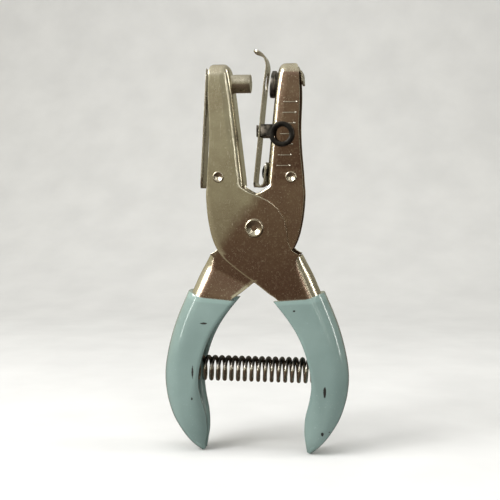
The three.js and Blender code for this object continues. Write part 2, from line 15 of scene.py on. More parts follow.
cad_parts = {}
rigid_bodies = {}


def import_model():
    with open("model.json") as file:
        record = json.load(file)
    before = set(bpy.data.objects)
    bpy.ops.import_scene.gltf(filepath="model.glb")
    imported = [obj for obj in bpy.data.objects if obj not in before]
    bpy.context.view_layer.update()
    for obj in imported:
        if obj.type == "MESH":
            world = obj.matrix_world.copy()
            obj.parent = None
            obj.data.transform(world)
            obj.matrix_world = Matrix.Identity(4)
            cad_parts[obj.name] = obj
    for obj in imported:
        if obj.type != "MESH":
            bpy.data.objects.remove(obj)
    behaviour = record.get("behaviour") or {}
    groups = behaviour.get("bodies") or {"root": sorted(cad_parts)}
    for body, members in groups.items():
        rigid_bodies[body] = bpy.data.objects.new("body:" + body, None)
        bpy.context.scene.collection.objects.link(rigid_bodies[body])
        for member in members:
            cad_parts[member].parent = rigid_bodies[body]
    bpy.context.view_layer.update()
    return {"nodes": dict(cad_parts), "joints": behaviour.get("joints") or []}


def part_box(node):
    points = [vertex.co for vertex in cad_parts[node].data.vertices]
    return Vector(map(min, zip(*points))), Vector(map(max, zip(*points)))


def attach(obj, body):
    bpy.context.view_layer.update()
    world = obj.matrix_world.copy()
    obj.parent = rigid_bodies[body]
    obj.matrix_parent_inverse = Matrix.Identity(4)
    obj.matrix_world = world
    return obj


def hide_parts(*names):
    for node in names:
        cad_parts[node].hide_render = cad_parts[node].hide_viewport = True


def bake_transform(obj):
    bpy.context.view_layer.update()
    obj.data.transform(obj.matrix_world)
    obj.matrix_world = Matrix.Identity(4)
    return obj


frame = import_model()

MM = 0.001
SQUEEZE = next(j for j in frame["joints"] if j["name"] == "squeeze")
PIVOT = Vector(SQUEEZE["pos_m"])
DIE_BODY, PUNCH_BODY = SQUEEZE["parent"], SQUEEZE["child"]
GAUGE_BODY = next(j for j in frame["joints"] if j["name"] == "gauge_slide")["child"]


def size_of(node):
    low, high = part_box(node)
    return (high - low) / MM


def local_box(node):
    """A CAD node's corners in millimetres from the pivot."""
    low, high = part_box(node)
    return (low - PIVOT) / MM, (high - PIVOT) / MM


LEVER_HALF = size_of("punch_lever").y / 2        # half thickness over the punch lever
GRIP_HALF = size_of("right_grip").y / 2
SHEET = 1.1                                      # thickness of the lever sheet
PLAY = 0.3                                       # clearance between pieces that meet
NEST_HALF = LEVER_HALF - SHEET - PLAY            # half thickness of the die lever where it nests
COAT_FIT = GRIP_HALF - LEVER_HALF                # grip surface to sheet surface
JAW_HEIGHT = local_box("punch_lever")[1].z
JAW_ROOT = 14.3                                  # height of the crotch between the jaws
FACE_AT_ROOT = 3.75                              # a jaw's folded face from the middle line, at its root
PUNCH_LEAN, DIE_LEAN = 0.122, 0.100              # how much each face leans out for each mm of height
DIE_ANGLE = math.atan(DIE_LEAN)
JOGGLE_TOP = 42.0                                # height where the die jaw is full thickness again

PIN_R = size_of("punch_pin").z / 2
PIN_FROM_TOP = 6.7
PIN_HEIGHT = JAW_HEIGHT - PIN_FROM_TOP
DIE_DROP = 0.5                                   # die centre below the pin, where the pin's arc meets it
DIE_HEIGHT = PIN_HEIGHT - DIE_DROP
DIE_BORE = PIN_R + PLAY
DIE_HOLE = DIE_BORE + 0.5                        # hole in the jaw's face, filled by the die's shank
DIE_SHANK, DIE_RIM = DIE_BORE + 0.6, DIE_BORE + 1.2
DIE_STAND = 2.1                                  # collar height over the jaw
DIE_TAIL = SHEET + 1.35                          # how far the shank goes into the jaw

STRIP = 0.7                                      # thickness of the stripper and the backing strips
THROAT = 3.7                                     # free width between the stripper and the die jaw
STRIPPER_LEG_TOP = JAW_ROOT + 8.4
STRIPPER_RIVET_Z = JAW_ROOT + 5
STRIPPER_HOLE = PIN_R + 0.4

EDGE_ROUND = 0.34                                # rounding of the lever's cut edges
# Those edges are bare from wear, and their pale cream colour is also a painted highlight.
BARE_HIGHLIGHT_SLOT = 1                                    # the material slot that those edges take


def face_x(z, lean=DIE_LEAN):
    """Distance of a jaw's folded face from the pivot's middle line at height z."""
    return FACE_AT_ROOT + (z - JAW_ROOT) * lean


def ease(t):
    t = min(1.0, max(0.0, t))
    return t * t * (3 - 2 * t)


def jaw_half(z, nest_half):
    """Half thickness of a jaw: nested at its root, full from the joggle's top."""
    return nest_half + (LEVER_HALF - nest_half) * ease((z - JAW_ROOT) / (JOGGLE_TOP - JAW_ROOT))


# ---------------------------------------------------------------- making and cutting

def at(x, y, z):
    return PIVOT + Vector((x, y, z)) * MM


def deselect():
    if bpy.context.object and bpy.context.object.mode != "OBJECT":
        bpy.ops.object.mode_set(mode="OBJECT")
    bpy.ops.object.select_all(action="DESELECT")


def activate(obj):
    deselect()
    obj.select_set(True)
    bpy.context.view_layer.objects.active = obj


def edit_faces(obj, keep, action):
    """Runs action in edit mode on the faces that keep(face) picks."""
    activate(obj)
    bpy.ops.object.mode_set(mode="EDIT")
    bpy.ops.mesh.select_mode(type="FACE")
    bpy.ops.mesh.select_all(action="DESELECT")
    bpy.ops.object.mode_set(mode="OBJECT")
    for face in obj.data.polygons:
        face.select = keep(face)
    bpy.ops.object.mode_set(mode="EDIT")
    action()
    bpy.ops.object.mode_set(mode="OBJECT")


def edit_all(obj, action):
    """Runs action in edit mode on the whole mesh."""
    activate(obj)
    bpy.ops.object.mode_set(mode="EDIT")
    bpy.ops.mesh.select_mode(type="FACE")
    bpy.ops.mesh.select_all(action="SELECT")
    action()
    bpy.ops.object.mode_set(mode="OBJECT")


def weld(obj, distance=1e-6):
    edit_all(obj, lambda: bpy.ops.mesh.remove_doubles(threshold=distance))


def face_outwards(obj):
    edit_all(obj, lambda: bpy.ops.mesh.normals_make_consistent(inside=False))


def close_ends(obj):
    """Fills the open ends of a tube-like mesh and turns its faces outwards."""
    activate(obj)
    bpy.ops.object.mode_set(mode="EDIT")
    bpy.ops.mesh.select_mode(type="EDGE")
    bpy.ops.mesh.select_all(action="DESELECT")
    bpy.ops.mesh.select_non_manifold(extend=False)
    bpy.ops.mesh.fill()
    bpy.ops.mesh.select_all(action="SELECT")
    bpy.ops.mesh.normals_make_consistent(inside=False)
    bpy.ops.object.mode_set(mode="OBJECT")


def apply_modifier(obj, kind, **settings):
    activate(obj)
    modifier = obj.modifiers.new(kind.title(), kind)
    for key, value in settings.items():
        setattr(modifier, key, value)
    bpy.ops.object.modifier_apply(modifier=modifier.name)


def bevel(obj, width, segments=2, angle=50, material=-1):
    """Rounds the sharp edges; material is the slot that the rounded edges take, if not their own."""
    apply_modifier(obj, "BEVEL", width=width * MM, segments=segments, limit_method="ANGLE",
                   angle_limit=math.radians(angle), harden_normals=False, material=material)


def smooth(obj, angle=35, weighted=False):
    activate(obj)
    bpy.ops.object.shade_smooth_by_angle(angle=math.radians(angle))
    if weighted:
        apply_modifier(obj, "WEIGHTED_NORMAL", mode="FACE_AREA_WITH_ANGLE", keep_sharp=True, weight=60)


def boolean(obj, tool, operation):
    apply_modifier(obj, "BOOLEAN", object=tool, operation=operation, solver="EXACT")
    bpy.data.objects.remove(tool)


def catmull(rows, steps, straight=()):
    """Rows with steps[i] samples between row i and row i + 1; the columns in straight stay linear."""
    out = []
    for i in range(len(rows) - 1):
        p, q = rows[max(i - 1, 0)], rows[i]
        r, s = rows[i + 1], rows[min(i + 2, len(rows) - 1)]
        for k in range(steps[i]):
            t = k / steps[i]
            row = []
            for c in range(len(q)):
                if c in straight:
                    row.append(q[c] + (r[c] - q[c]) * t)
                    continue
                row.append(q[c] + 0.5 * t * (r[c] - p[c] + t * (
                    2 * p[c] - 5 * q[c] + 4 * r[c] - s[c] + t * (3 * (q[c] - r[c]) + s[c] - p[c]))))
            out.append(row)
    out.append(list(rows[-1]))
    return out


def formed(name, table, cut=None):
    """A blank of one quad per table cell, cut while flat where cut(i, j) says so, then moved on to
    the table's points."""
    rows, columns = len(table) - 1, len(table[0]) - 1
    deselect()
    bpy.ops.mesh.primitive_grid_add(x_subdivisions=rows, y_subdivisions=columns, size=2)
    obj = bpy.context.object
    obj.name = obj.data.name = name
    if cut:
        def picked(face):
            i = (face.center.x + 1) / 2 * rows
            j = (face.center.y + 1) / 2 * columns
            return cut(i, j)
        edit_faces(obj, picked, lambda: bpy.ops.mesh.delete(type="FACE"))
    for vertex in obj.data.vertices:
        i = round((vertex.co.x + 1) / 2 * rows)
        j = round((vertex.co.y + 1) / 2 * columns)
        vertex.co = table[i][j]
    weld(obj)
    return obj


def turn_front_out(obj, outwards):
    """Flips a formed sheet if its face nearest to where outwards is greatest looks inwards."""
    face = max(obj.data.polygons, key=lambda f: f.center.dot(outwards))
    if face.normal.dot(outwards) < 0:
        edit_all(obj, bpy.ops.mesh.flip_normals)


def spun(name, profile, steps, placing):
    """Turns a profile of (radius, height) round the local Z axis and places it."""
    mesh = bpy.data.meshes.new(name)
    mesh.from_pydata([(r * MM, 0, h * MM) for r, h in profile],
                     [(i, i + 1) for i in range(len(profile) - 1)], [])
    obj = bpy.data.objects.new(name, mesh)
    bpy.context.scene.collection.objects.link(obj)
    activate(obj)
    bpy.ops.object.mode_set(mode="EDIT")
    bpy.ops.mesh.select_mode(type="VERT")
    bpy.ops.mesh.select_all(action="SELECT")
    bpy.ops.mesh.spin(steps=steps, angle=2 * math.pi, center=(0, 0, 0), axis=(0, 0, 1))
    bpy.ops.mesh.select_all(action="SELECT")
    bpy.ops.mesh.remove_doubles(threshold=1e-6)
    bpy.ops.mesh.normals_make_consistent(inside=False)
    bpy.ops.object.mode_set(mode="OBJECT")
    obj.data.transform(placing)
    return obj


def axis_frame(origin, direction):
    """A placing whose local Z runs along direction from origin."""
    turn = Vector(direction).normalized().to_track_quat("Z", "Y").to_matrix().to_4x4()
    return Matrix.Translation(origin) @ turn


# ---------------------------------------------------------------- folded sections

PLATE_STEPS, FACET_STEPS, ARC_STEPS, FACE_STEPS = 12, 3, 8, 3
KEPT_ARC = 3        # steps of the fold's arc that stay above a cut edge


def half_section(width, half, fold, crease, tilt):
    """Front half of a folded section: plate, tilted facet after the crease, fold, middle of the face.
    Points are (distance from the open edge, y)."""
    tilt = math.radians(tilt)
    start = width - max(crease, fold)
    end = width - fold * (1 - math.sin(tilt))
    low = -half + (end - start) * math.tan(tilt)
    centre = low + fold * math.cos(tilt)
    rim = min(0.7, start * 0.3)
    points = [(0, -half)]
    points += [(rim + (start - rim) * k / (PLATE_STEPS - 1), -half) for k in range(PLATE_STEPS - 1)]
    points += [(start + (end - start) * k / FACET_STEPS, -half + (low + half) * k / FACET_STEPS)
               for k in range(FACET_STEPS)]
    for k in range(ARC_STEPS):
        turn = tilt + (math.pi / 2 - tilt) * k / ARC_STEPS
        points.append((width - fold + fold * math.sin(turn), centre - fold * math.cos(turn)))
    points += [(width, min(centre, 0) * (1 - k / FACE_STEPS)) for k in range(FACE_STEPS)]
    return points


def mirrored(half, middle):
    return half + [middle] + [(a, -y) for a, y in reversed(half)]


def placed(section, row, side):
    ox, oz, wx, wz = row[:4]
    length = math.hypot(wx - ox, wz - oz)
    ex, ez = (wx - ox) / length, (wz - oz) / length
    return [at(side * (ox + ex * a), y, oz + ez * a) for a, y in section]


def row_width(row):
    return math.hypot(row[2] - row[0], row[3] - row[1])


# Open edge x and z, folded face x and z, half thickness, fold radius, crease, facet tilt.
CAP_ROWS = [
    (-13.6, JAW_HEIGHT, -11.6, JAW_HEIGHT, 0.001, 0.001, 0.2, 0),
    (-14.6, JAW_HEIGHT - 0.15, -10.6, JAW_HEIGHT - 0.15, 2.2, 1.2, 1.3, 0),
    (-15.4, JAW_HEIGHT - 0.8, -9.75, JAW_HEIGHT - 0.8, 4.0, 1.9, 2.0, 0),
    (-15.8, JAW_HEIGHT - 2.0, -9.15, JAW_HEIGHT - 2.0, 5.3, 2.3, 2.5, 0),
    (-16.0, JAW_HEIGHT - 3.6, -8.75, JAW_HEIGHT - 3.6, 6.0, 2.4, 2.9, 4),
    (-16.05, JAW_HEIGHT - 5.2, -8.5, JAW_HEIGHT - 5.2, LEVER_HALF, 2.4, 3.5, 9),
]
# Open edge x and z, fold radius, crease, facet tilt.
JAW_EDGE = [(-16.1, 45, 2.4, 3.6, 9), (-15.6, 35, 2.4, 3.6, 8), (-15.8, 27, 2.4, 3.5, 5),
            (-16.3, 20.5, 2.5, 3.1, 2), (-16.5, 16.8, 2.5, 2.7, 0)]
# Open edge x and z, cut edge x and z, and how much of the jaw's fold still rounds the cut edge.
CROSSING_ROWS = [
    (-16.7, 13.6, -3.4, 13.5, 2.5), (-16.8, 12.2, -1.4, 12.3, 2.4), (-16.8, 10.2, 1.6, 11.1, 1.9),
    (-16.5, 6.0, 4.8, 9.4, 0.9), (-16.0, 2.2, 7.8, 6.9, 0.3), (-14.9, -2.8, 10.0, 3.5, 0.15),
    (-13.2, -7.0, 11.1, -0.4, 0.15), (-10.6, -10.5, 11.5, -4.0, 0.15), (-7.4, -13.3, 12.3, -6.4, 0.15),
    (-4.0, -15.9, 13.7, -8.1, 0.15), (-0.3, -18.5, 15.7, -9.2, 0.15),
]
# Open edge x and z, folded face x and z.
NECK_ROWS = [(-0.1, -18.7, 16.0, -9.5), (2.2, -20.4, 17.9, -12.7), (5.0, -22.6, 20.1, -16.8)]
NECK_FOLDS = (2.4, 4.4, 5.0)
HANDLE_FOLD = 5.0
# Grip: inner edge x and depth, outer face x and depth, half thickness lost, lip.
GRIP_ROWS = [
    (7.0, 25.2, 24.0, 22.6, 0, 0), (11.2, 30.4, 27.4, 30.2, 0, 0), (14.8, 35.8, 29.5, 36.0, 0, 0),
    (17.5, 41.6, 31.2, 42.2, 0, 0), (19.5, 48.4, 32.4, 48.8, 0, 0), (20.5, 54.4, 32.6, 54.4, 0, 0.3),
    (20.9, 60.0, 31.8, 60.2, 0.1, 1.4), (20.6, 66.4, 29.7, 66.6, 0.5, 2.6),
    (19.8, 72.0, 26.4, 72.2, 1.4, 2.2), (18.9, 76.2, 22.9, 76.6, 3.1, 0.9),
    (18.2, 79.2, 19.5, 79.7, 5.7, 0),
]


def handle_rows():
    """The sheet inside a grip, drawn in from the grip's surface by the coat. It ends before the tip."""
    rows = []
    for iu, iv, ou, ov, lost, _ in GRIP_ROWS[:8]:
        length = math.hypot(ou - iu, ov - iv)
        dx, dz = (ou - iu) / length * COAT_FIT, (iv - ov) / length * COAT_FIT
        rows.append((iu + dx, -iv + dz, ou - dx, -ov - dz, LEVER_HALF - lost, HANDLE_FOLD, HANDLE_FOLD, 0))
    return rows


def jaw_rows(nest_half, lean):
    """A jaw from its cap to its root, swung from the punch jaw's lean to its own."""
    rows = list(CAP_ROWS)
    for x, z, fold, crease, tilt in JAW_EDGE:
        rows.append((x, z, -face_x(z, PUNCH_LEAN), z, jaw_half(z, nest_half), fold, crease, tilt))
    root_z = JAW_ROOT + 0.4
    rows.append((-16.6, root_z, -face_x(root_z, PUNCH_LEAN), root_z, nest_half, 2.5, 2.7, 0))
    swung = []
    for x, z, fx, fz, *rest in rows:
        shift = (z - JAW_ROOT) * (PUNCH_LEAN - lean)
        swung.append((x + shift, z, fx + shift, fz, *rest))
    return swung


def crossing_rows(nest_half):
    """The plates round the pivot. Each row reaches past its cut edge by the part of the fold that is
    cut away."""
    rows = []
    for ox, oz, wx, wz, fold in CROSSING_ROWS:
        hidden = fold * (1 - math.sin(KEPT_ARC / ARC_STEPS * math.pi / 2))
        length = math.hypot(wx - ox, wz - oz)
        reach = (wx + (wx - ox) / length * hidden, wz + (wz - oz) / length * hidden)
        rows.append((ox, oz, *reach, nest_half, fold, fold + 0.1, 0))
    return rows


def make_lever(name, side, nest_half, lean):
    """One folded sheet: jaw, plates round the pivot, neck and handle. Between jaw and neck the folded
    face is cut out, so that the plates cross."""
    jaw, crossing = jaw_rows(nest_half, lean), crossing_rows(nest_half)
    between = (LEVER_HALF + nest_half) / 2
    neck = [(*row, half, fold, fold, 0) for row, half, fold in
            zip(NECK_ROWS, (nest_half, nest_half, between), NECK_FOLDS)]
    handle = handle_rows()
    rows = jaw + crossing + neck + handle
    jaw_end = len(jaw) - 1
    neck_start = jaw_end + 1 + len(crossing)
    steps = [4] * len(CAP_ROWS) + [7] * (len(JAW_EDGE) - 1) + [5, 2, 4] + [5] * (len(crossing) - 2)
    steps += [1, 5, 5, 5] + [6] * (len(handle) - 1)
    sampled = catmull(rows, steps, straight=(4, 5, 6, 7))
    cut_from, cut_to = sum(steps[:jaw_end]), sum(steps[:neck_start])
    table = []
    for row in sampled:
        width = row_width(row)
        fold = min(row[5], row[4], width * 0.45)
        half = half_section(width, row[4], fold, row[6], row[7])
        table.append(placed(mirrored(half, (width, 0)), row, side))
    plate = PLATE_STEPS + FACET_STEPS + KEPT_ARC
    span = len(table[0]) - 1
    obj = formed(name, table, cut=lambda i, j: cut_from < i < cut_to and plate < j < span - plate)
    turn_front_out(obj, Vector((0, -1, 0)))
    apply_modifier(obj, "SOLIDIFY", thickness=SHEET * MM, offset=-1, use_quality_normals=True)
    return obj


# ---------------------------------------------------------------- pieces

def drill(obj, radius, length, placing):
    deselect()
    bpy.ops.mesh.primitive_cylinder_add(vertices=48, radius=radius * MM, depth=length * MM)
    cutter = bpy.context.object
    cutter.data.transform(placing)
    boolean(obj, cutter, "DIFFERENCE")


def on_face(z):
    """The die jaw's folded face at height z, with local Z pointing into the jaw."""
    return axis_frame(at(face_x(z), 0, z), (math.cos(DIE_ANGLE), 0, -math.sin(DIE_ANGLE)))


def round_sheet_edges(obj):
    """Rounds the cut edges of a lever, which are worn bare of their plating; their pale, nearly unmetallic
    colour is also a painted highlight.
    """
    dress(obj, materials["nickel"], materials["bare_edge_painted_highlight"])
    bevel(obj, EDGE_ROUND, 3, 60, BARE_HIGHLIGHT_SLOT)
    smooth(obj, 35, True)
    return obj


def make_punch_lever():
    return round_sheet_edges(make_lever("punch_lever_sheet", 1, LEVER_HALF, PUNCH_LEAN))


def make_die_lever():
    obj = make_lever("die_lever_sheet", -1, NEST_HALF, DIE_LEAN)
    drill(obj, DIE_HOLE, 5, on_face(DIE_HEIGHT))
    return round_sheet_edges(obj)


def strip(name, path, half_width, samples, hole=None, corner=0.9):
    """A thin strip along a path in the XZ plane, with rounded free corners. A hole is its radius and
    its placing."""
    rows = catmull(path, [samples] * (len(path) - 1))
    across = 12
    table = []
    lengths = [0.0]
    for a, b in zip(rows, rows[1:]):
        lengths.append(lengths[-1] + math.hypot(b[0] - a[0], b[1] - a[1]))
    for row, run in zip(rows, lengths):
        near = min(run, lengths[-1] - run)
        inset = 0.0
        if near < corner:
            inset = corner - math.sqrt(max(corner ** 2 - (corner - near) ** 2, 0))
        reach = half_width - inset
        table.append([at(row[0], reach * (2 * k / across - 1), row[1]) for k in range(across + 1)])
    obj = formed(name, table)
    apply_modifier(obj, "SOLIDIFY", thickness=STRIP * MM, offset=0, use_even_offset=True)
    face_outwards(obj)
    if hole:
        radius, placing = hole
        drill(obj, radius, 4, placing)
    bevel(obj, 0.14, 2, 60)
    smooth(obj)
    return obj


def make_stripper():
    """Up from its rivet's leg, round a bend at the foot, up past the pin's hole to a curled lead-in."""
    leg, run = -PLAY - STRIP / 2, -THROAT - STRIP / 2
    bend_z = JAW_ROOT + 1.7
    middle, radius = (leg + run) / 2, (leg - run) / 2
    bend = []
    for degrees in range(0, 181, 22):
        turn = math.radians(degrees)
        z = bend_z - radius * math.sin(turn)
        bend.append((face_x(z) + middle + radius * math.cos(turn), z))
    path = [(face_x(z) + leg, z) for z in (STRIPPER_LEG_TOP, STRIPPER_RIVET_Z)] + bend
    path += [(face_x(z) + run, z) for z in (bend_z + 8, bend_z + 18, bend_z + 28, PIN_HEIGHT)]
    hole_x = face_x(PIN_HEIGHT) - THROAT - STRIP / 2
    lead_in = ((0.5, 3.4), (0.7, 6.0), (-0.1, 8.6), (-1.8, 10.2), (-3.85, 10.85))
    path += [(hole_x + dx, PIN_HEIGHT + dz) for dx, dz in lead_in]
    hole = (STRIPPER_HOLE, axis_frame(at(hole_x, 0, PIN_HEIGHT), (1, 0, 0)))
    return strip("stripper_strip", path, size_of("stripper").y / 2, 4, hole, 1.6)


LEAF_BEND = 16.87       # middle line out to the leaf at its bend
BEND_DROP = 1.5         # from a leaf's top down to the end of its bend


def leaf_path(node, side, low_at, high_at):
    """Along the middle of a leaf: in from the cap, round a bend and down to its free end."""
    top = local_box(node)[1].z - STRIP / 2
    x0, z0 = high_at
    path = [(x0 - 3.5, top), (x0 - 1.5, top), (x0 - 0.3, top - 0.3), (x0, z0)]
    path += [(x0 + t * (low_at[0] - x0), z0 + t * (low_at[1] - z0)) for t in (0.3, 0.65, 1)]
    return [(side * x, z) for x, z in path]


def make_backing_leaf():
    """Splayed: its free end stands off the lever further than its bend at LEAF_BEND does."""
    low, high = local_box("backing_leaf")
    path = leaf_path("backing_leaf", -1, (-low.x - STRIP / 2 - 0.02, low.z + 0.02),
                     (LEAF_BEND, high.z - BEND_DROP))
    return strip("backing_leaf_strip", path, size_of("backing_leaf").y / 2, 5)


def make_backing_tab():
    low, high = local_box("backing_tab")
    path = leaf_path("backing_tab", 1, (high.x - STRIP / 2 - 0.02, low.z + 0.02),
                     (high.x - STRIP / 2 - 0.22, high.z - BEND_DROP))
    return strip("backing_tab_strip", path, size_of("backing_tab").y / 2, 5)


def make_punch_pin():
    """A riveted head behind the jaw's face, then the round pin with a slightly hollow ground end."""
    low, high = local_box("punch_pin")
    web, head = -face_x(PIN_HEIGHT, PUNCH_LEAN), 3.0
    profile = [(0, low.x), (head - 0.4, low.x), (head, low.x + 0.4), (head, web - SHEET)]
    profile += [(PIN_R, x) for x in (web - SHEET, web + 1, high.x - 2, high.x - 0.16)]
    profile += [(PIN_R - 0.05, high.x - 0.05), (PIN_R - 0.16, high.x), (PIN_R - 0.9, high.x - 0.02),
                (1.2, high.x - 0.16), (0, high.x - 0.2)]
    obj = spun("punch_pin_round", profile, 72, axis_frame(at(0, 0, PIN_HEIGHT), (1, 0, 0)))
    smooth(obj, 30)
    return obj


def make_die_bushing():
    """A rounded collar on a narrower foot, and a shank through the jaw's face."""
    top, rim, foot = -DIE_STAND, DIE_RIM, DIE_RIM - 0.45
    profile = [(DIE_BORE, top + 0.12), (DIE_BORE + 0.12, top), (rim - 0.35, top), (rim - 0.1, top + 0.1),
               (rim, top + 0.35), (rim, -0.75), (rim - 0.12, -0.6), (foot, -0.45), (foot, -0.02),
               (DIE_SHANK, -0.02), (DIE_SHANK, DIE_TAIL), (DIE_BORE, DIE_TAIL), (DIE_BORE, top + 0.12)]
    obj = spun("die_bushing_collar", profile, 72, on_face(DIE_HEIGHT))
    smooth(obj, 30)
    return obj


def headed_rivet(name, x, z, shank, head, height, reach, cup, depth):
    """A tubular rivet through the plates: a rolled rim round a cupped centre at the front, a plain
    head at the back. Local Z points to the front."""
    top = reach + height
    cone = [(cup * r, top - depth * h) for r, h in
            ((0, 1), (0.12, 0.97), (0.3, 0.84), (0.6, 0.56), (0.85, 0.3), (0.94, 0.19), (1, 0.08))]
    wall = head - cup
    rim = [(cup + wall * r, top - height * h) for r, h in
           ((0.1, 0.02), (0.3, 0), (0.5, 0.03), (0.66, 0.14), (0.74, 0.4), (0.8, 0.78), (1, 0.88))]
    back = [(head, -reach), (head - 0.05, -reach - height * 0.5), (head * 0.8, -top), (0, -top)]
    profile = cone + rim + [(head, reach), (shank, reach), (shank, -reach)] + back
    obj = spun(name, profile, 64, axis_frame(at(x, 0, z), (0, -1, 0)))
    smooth(obj, 40)
    return obj


def make_pivot_rivet():
    return headed_rivet("pivot_rivet_headed", 0, 0, shank=2.2, head=3.3, height=1.15, reach=LEVER_HALF,
                        cup=2.6, depth=1.5)


def make_jaw_rivet(name, node):
    low, high = local_box(node)
    return headed_rivet(name, (low.x + high.x) / 2, (low.z + high.z) / 2, shank=1.2, head=1.95,
                        height=0.75, reach=high.y - 0.9, cup=1.45, depth=0.7)


def make_stripper_rivet():
    seat = STRIP + PLAY
    profile = [(0, -seat - 1.3), (1.0, -seat - 1.22), (1.9, -seat - 0.95), (2.55, -seat - 0.5), (2.88, -seat),
               (1.4, -seat), (1.4, SHEET), (2.3, SHEET), (2.05, SHEET + 1.0), (0, SHEET + 1.1)]
    obj = spun("stripper_rivet_domed", profile, 48, on_face(STRIPPER_RIVET_Z))
    smooth(obj, 40)
    return obj


def block(name, low, high, edge):
    """A box between two corners, in millimetres from the pivot, with rounded edges."""
    deselect()
    bpy.ops.mesh.primitive_cube_add(size=1)
    obj = bpy.context.object
    obj.name = obj.data.name = name
    a, b = at(*low), at(*high)
    obj.data.transform(Matrix.Translation((a + b) / 2) @ Matrix.Diagonal((*(b - a), 1)))
    bevel(obj, edge, 3, 30)
    return obj


def make_paper_gauge():
    """A ring in front of the jaw, an arm to the paper stop between stripper and jaw, a clip along the
    stop's back, and a hook round the stripper's edge."""
    low, high = local_box("paper_gauge")
    ring_r, hole_r, plate, gap, flange = 4.3, 2.6, 1.0, 0.4, 0.5
    ring_drop, stop_half, bulge, ring_sides = 1.3, 2.05, 1.12, 16
    ring_x, ring_z = high.x - ring_r, low.z + ring_r
    height = ring_z + ring_drop
    stop_low, stop_high = height - stop_half, height + stop_half
    front = -LEVER_HALF - PLAY
    middle, wide = (ring_r + hole_r) / 2, (ring_r - hole_r) / 2
    profile = []
    for k in range(ring_sides + 1):
        turn = 2 * math.pi * k / ring_sides
        cx = math.copysign(abs(math.cos(turn)) ** (1 / bulge), math.cos(turn))
        cz = math.copysign(abs(math.sin(turn)) ** (1 / bulge), math.sin(turn))
        profile.append((middle + wide * cx, plate / 2 * cz))
    ring = spun("paper_gauge_ring", profile, 72,
                axis_frame(at(ring_x, front - plate / 2, ring_z), (0, -1, 0)))
    face = face_x(height)
    stop_left, stop_right = face - THROAT + gap, face - gap
    hook_right = face - THROAT - STRIP - gap
    hook = hook_right - flange
    parts = [
        block("arm", (stop_left, front - plate + 0.08, stop_low),
              (ring_x - hole_r - 0.5, front - 0.08, stop_high), 0.22),
        block("stop", (stop_left, front - plate / 2, stop_low + 0.05),
              (stop_right, high.y - 0.05, stop_high - 0.05), 0.2),
        block("clip", (hook, high.y - plate, stop_low + 0.1), (stop_right, high.y, stop_high - 0.1), 0.2),
        block("hook", (hook, 1 - size_of("stripper").y / 2, stop_low),
              (hook_right, high.y - 0.05, stop_high), 0.15),
    ]
    for part in parts:
        boolean(ring, part, "UNION")
    smooth(ring, 40)
    return ring


LINE_COUNT, LINE_LENGTH, LINE_HALF = 7, 4.6, 0.18
LINE_TOP, LINE_STEP = (9.95, 42.95), (0.40, 3.58)       # the top line's x and z, and the step down
LINE_HEIGHT, LINE_ROOT = 0.1, 0.3                       # above and below the jaw's surface


def make_gauge_lines():
    """Short ribs on the die jaw's front, one for each stop of the gauge, each with a dot at its end."""
    ribs = []
    for k in range(LINE_COUNT):
        x, z = LINE_TOP[0] - LINE_STEP[0] * k, LINE_TOP[1] - LINE_STEP[1] * k
        y = -jaw_half(z, NEST_HALF)
        end = x + LINE_LENGTH
        rib = block(f"rib_{k}", (x, y - LINE_HEIGHT, z - LINE_HALF), (end, y + LINE_ROOT, z + LINE_HALF), 0.1)
        dome = [(0, 0.14), (0.2, 0.12), (0.34, 0.03), (0.38, -LINE_ROOT), (0, -LINE_ROOT)]
        ribs += [rib, spun(f"dot_{k}", dome, 20, axis_frame(at(end, y, z), (0, -1, 0)))]
    activate(ribs[0])
    for rib in ribs[1:]:
        rib.select_set(True)
    bpy.ops.object.join()
    obj = bpy.context.object
    obj.name = obj.data.name = "gauge_lines"
    smooth(obj, 30)
    return obj


GRIP_FOLD = 6.4         # outer radius of a grip's back edges
GRIP_WALL = 2.55        # thickness of the coat with the sheet inside it
CUFF_ROWS = 5           # rows over which the cuff's wavy rim fades out
CUFF_WAVE = 1.5         # rise of the rim over the fold
CUFF_SLANT = 1.2        # fall of the rim from the open edge to the outer face


def grip_loop(width, half, fold, lip, wall):
    """Front half of a grip's closed section, from the outer face round the lip to the inner face.
    Points are (distance from the open edge, y)."""
    points = [(width, -(half - fold) * k / 2) for k in range(2)]
    for k in range(10):
        turn = math.pi / 2 * (1 - k / 10)
        points.append((width - fold + fold * math.sin(turn), -half + fold - fold * math.cos(turn)))
    shoulder = 1.2 + lip * 0.6
    points += [(width - fold + (shoulder - width + fold) * k / 7, -half) for k in range(7)]
    drop = 0.35 + lip * 0.95
    for k in range(7):
        turn = k / 6 * math.pi / 2 * 0.8
        points.append((shoulder - (shoulder + lip) * math.sin(turn) / math.sin(math.pi * 0.4),
                       -half + drop * (1 - math.cos(turn)) / (1 - math.cos(math.pi * 0.4))))
    end_a, end_y = points[-1]
    inner_y = -half + wall
    for k in range(1, 5):
        turn = k / 5 * math.pi
        rolled = (1 - math.cos(turn)) / 2
        points.append((end_a - 0.25 * wall * math.sin(turn) + 0.3 * wall * rolled,
                       end_y + wall * 0.9 * rolled))
    flat = width - wall - max(fold - wall, 0.3)
    start = (max(end_a + 0.6 * wall, shoulder * 0.6), max(end_y + 0.9 * wall, inner_y))
    points += [(start[0] + (flat - start[0]) * k / 6, start[1] + (inner_y - start[1]) * min(1, k / 2.5))
               for k in range(7)]
    inner_fold = max(fold - wall, 0.3)
    for k in range(1, 7):
        turn = math.pi / 2 * k / 6
        points.append((flat + inner_fold * math.sin(turn),
                       inner_y + inner_fold - inner_fold * math.cos(turn)))
    return points + [(width - wall, (inner_y + inner_fold) * 0.5)]


